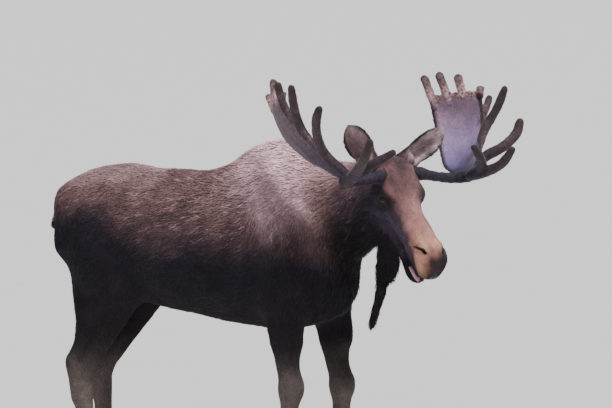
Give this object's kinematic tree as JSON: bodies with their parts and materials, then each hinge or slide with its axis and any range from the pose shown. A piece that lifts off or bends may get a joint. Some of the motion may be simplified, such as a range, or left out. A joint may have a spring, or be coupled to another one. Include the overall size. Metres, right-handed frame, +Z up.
{
  "type": "bull moose",
  "caption": "Still life-size bull moose standing on its hooves, head lowered and turned to its right, with palmate antlers in velvet and a hanging bell.",
  "frame": {"origin": "centre of the model's box in plan, on the ground under the hooves", "axes": "+X forward along the trunk, which is the longest extent; +Y to the animal's left; +Z up"},
  "size_m": [2.7468, 1.321, 2.1936],
  "materials": {
    "coat": "short dense summer coat, tan-grey over the hump, brown on the back, near-black below",
    "face_coat": "very short coat, rusty brown on forehead and nose bridge, dark round eyes, lips and jaw",
    "leg_coat": "short coat, near-black above, greyish brown on the lower legs",
    "velvet": "antler velvet, purplish grey-brown palms and warm brown tines with dark tips",
    "horn": "dark horn of the hooves and dewclaws with fine growth rings",
    "eye": "wet dark brown eye",
    "tongue": "moist pink tongue"
  },
  "bodies": {
    "root": {"trunk": "coat", "neck": "coat", "tail": "coat", "head": "face_coat", "lower_jaw": "face_coat", "tongue": "tongue", "bell": "coat", "ear_left": "face_coat", "eye_left": "eye", "antler_left_beam": "velvet", "antler_left_brow": "velvet", "antler_left_palm": "velvet", "ear_right": "face_coat", "eye_right": "eye", "antler_right_beam": "velvet", "antler_right_brow": "velvet", "antler_right_palm": "velvet", "leg_front_left_upper": "leg_coat", "leg_front_left_lower": "leg_coat", "hoof_front_left_inner": "horn", "dewclaw_front_left_inner": "horn", "hoof_front_left_outer": "horn", "dewclaw_front_left_outer": "horn", "leg_front_right_upper": "leg_coat", "leg_front_right_lower": "leg_coat", "hoof_front_right_inner": "horn", "dewclaw_front_right_inner": "horn", "hoof_front_right_outer": "horn", "dewclaw_front_right_outer": "horn", "leg_hind_left_upper": "leg_coat", "leg_hind_left_lower": "leg_coat", "hoof_hind_left_inner": "horn", "dewclaw_hind_left_inner": "horn", "hoof_hind_left_outer": "horn", "dewclaw_hind_left_outer": "horn", "leg_hind_right_upper": "leg_coat", "leg_hind_right_lower": "leg_coat", "hoof_hind_right_inner": "horn", "dewclaw_hind_right_inner": "horn", "hoof_hind_right_outer": "horn", "dewclaw_hind_right_outer": "horn"}
  },
  "joints": []
}
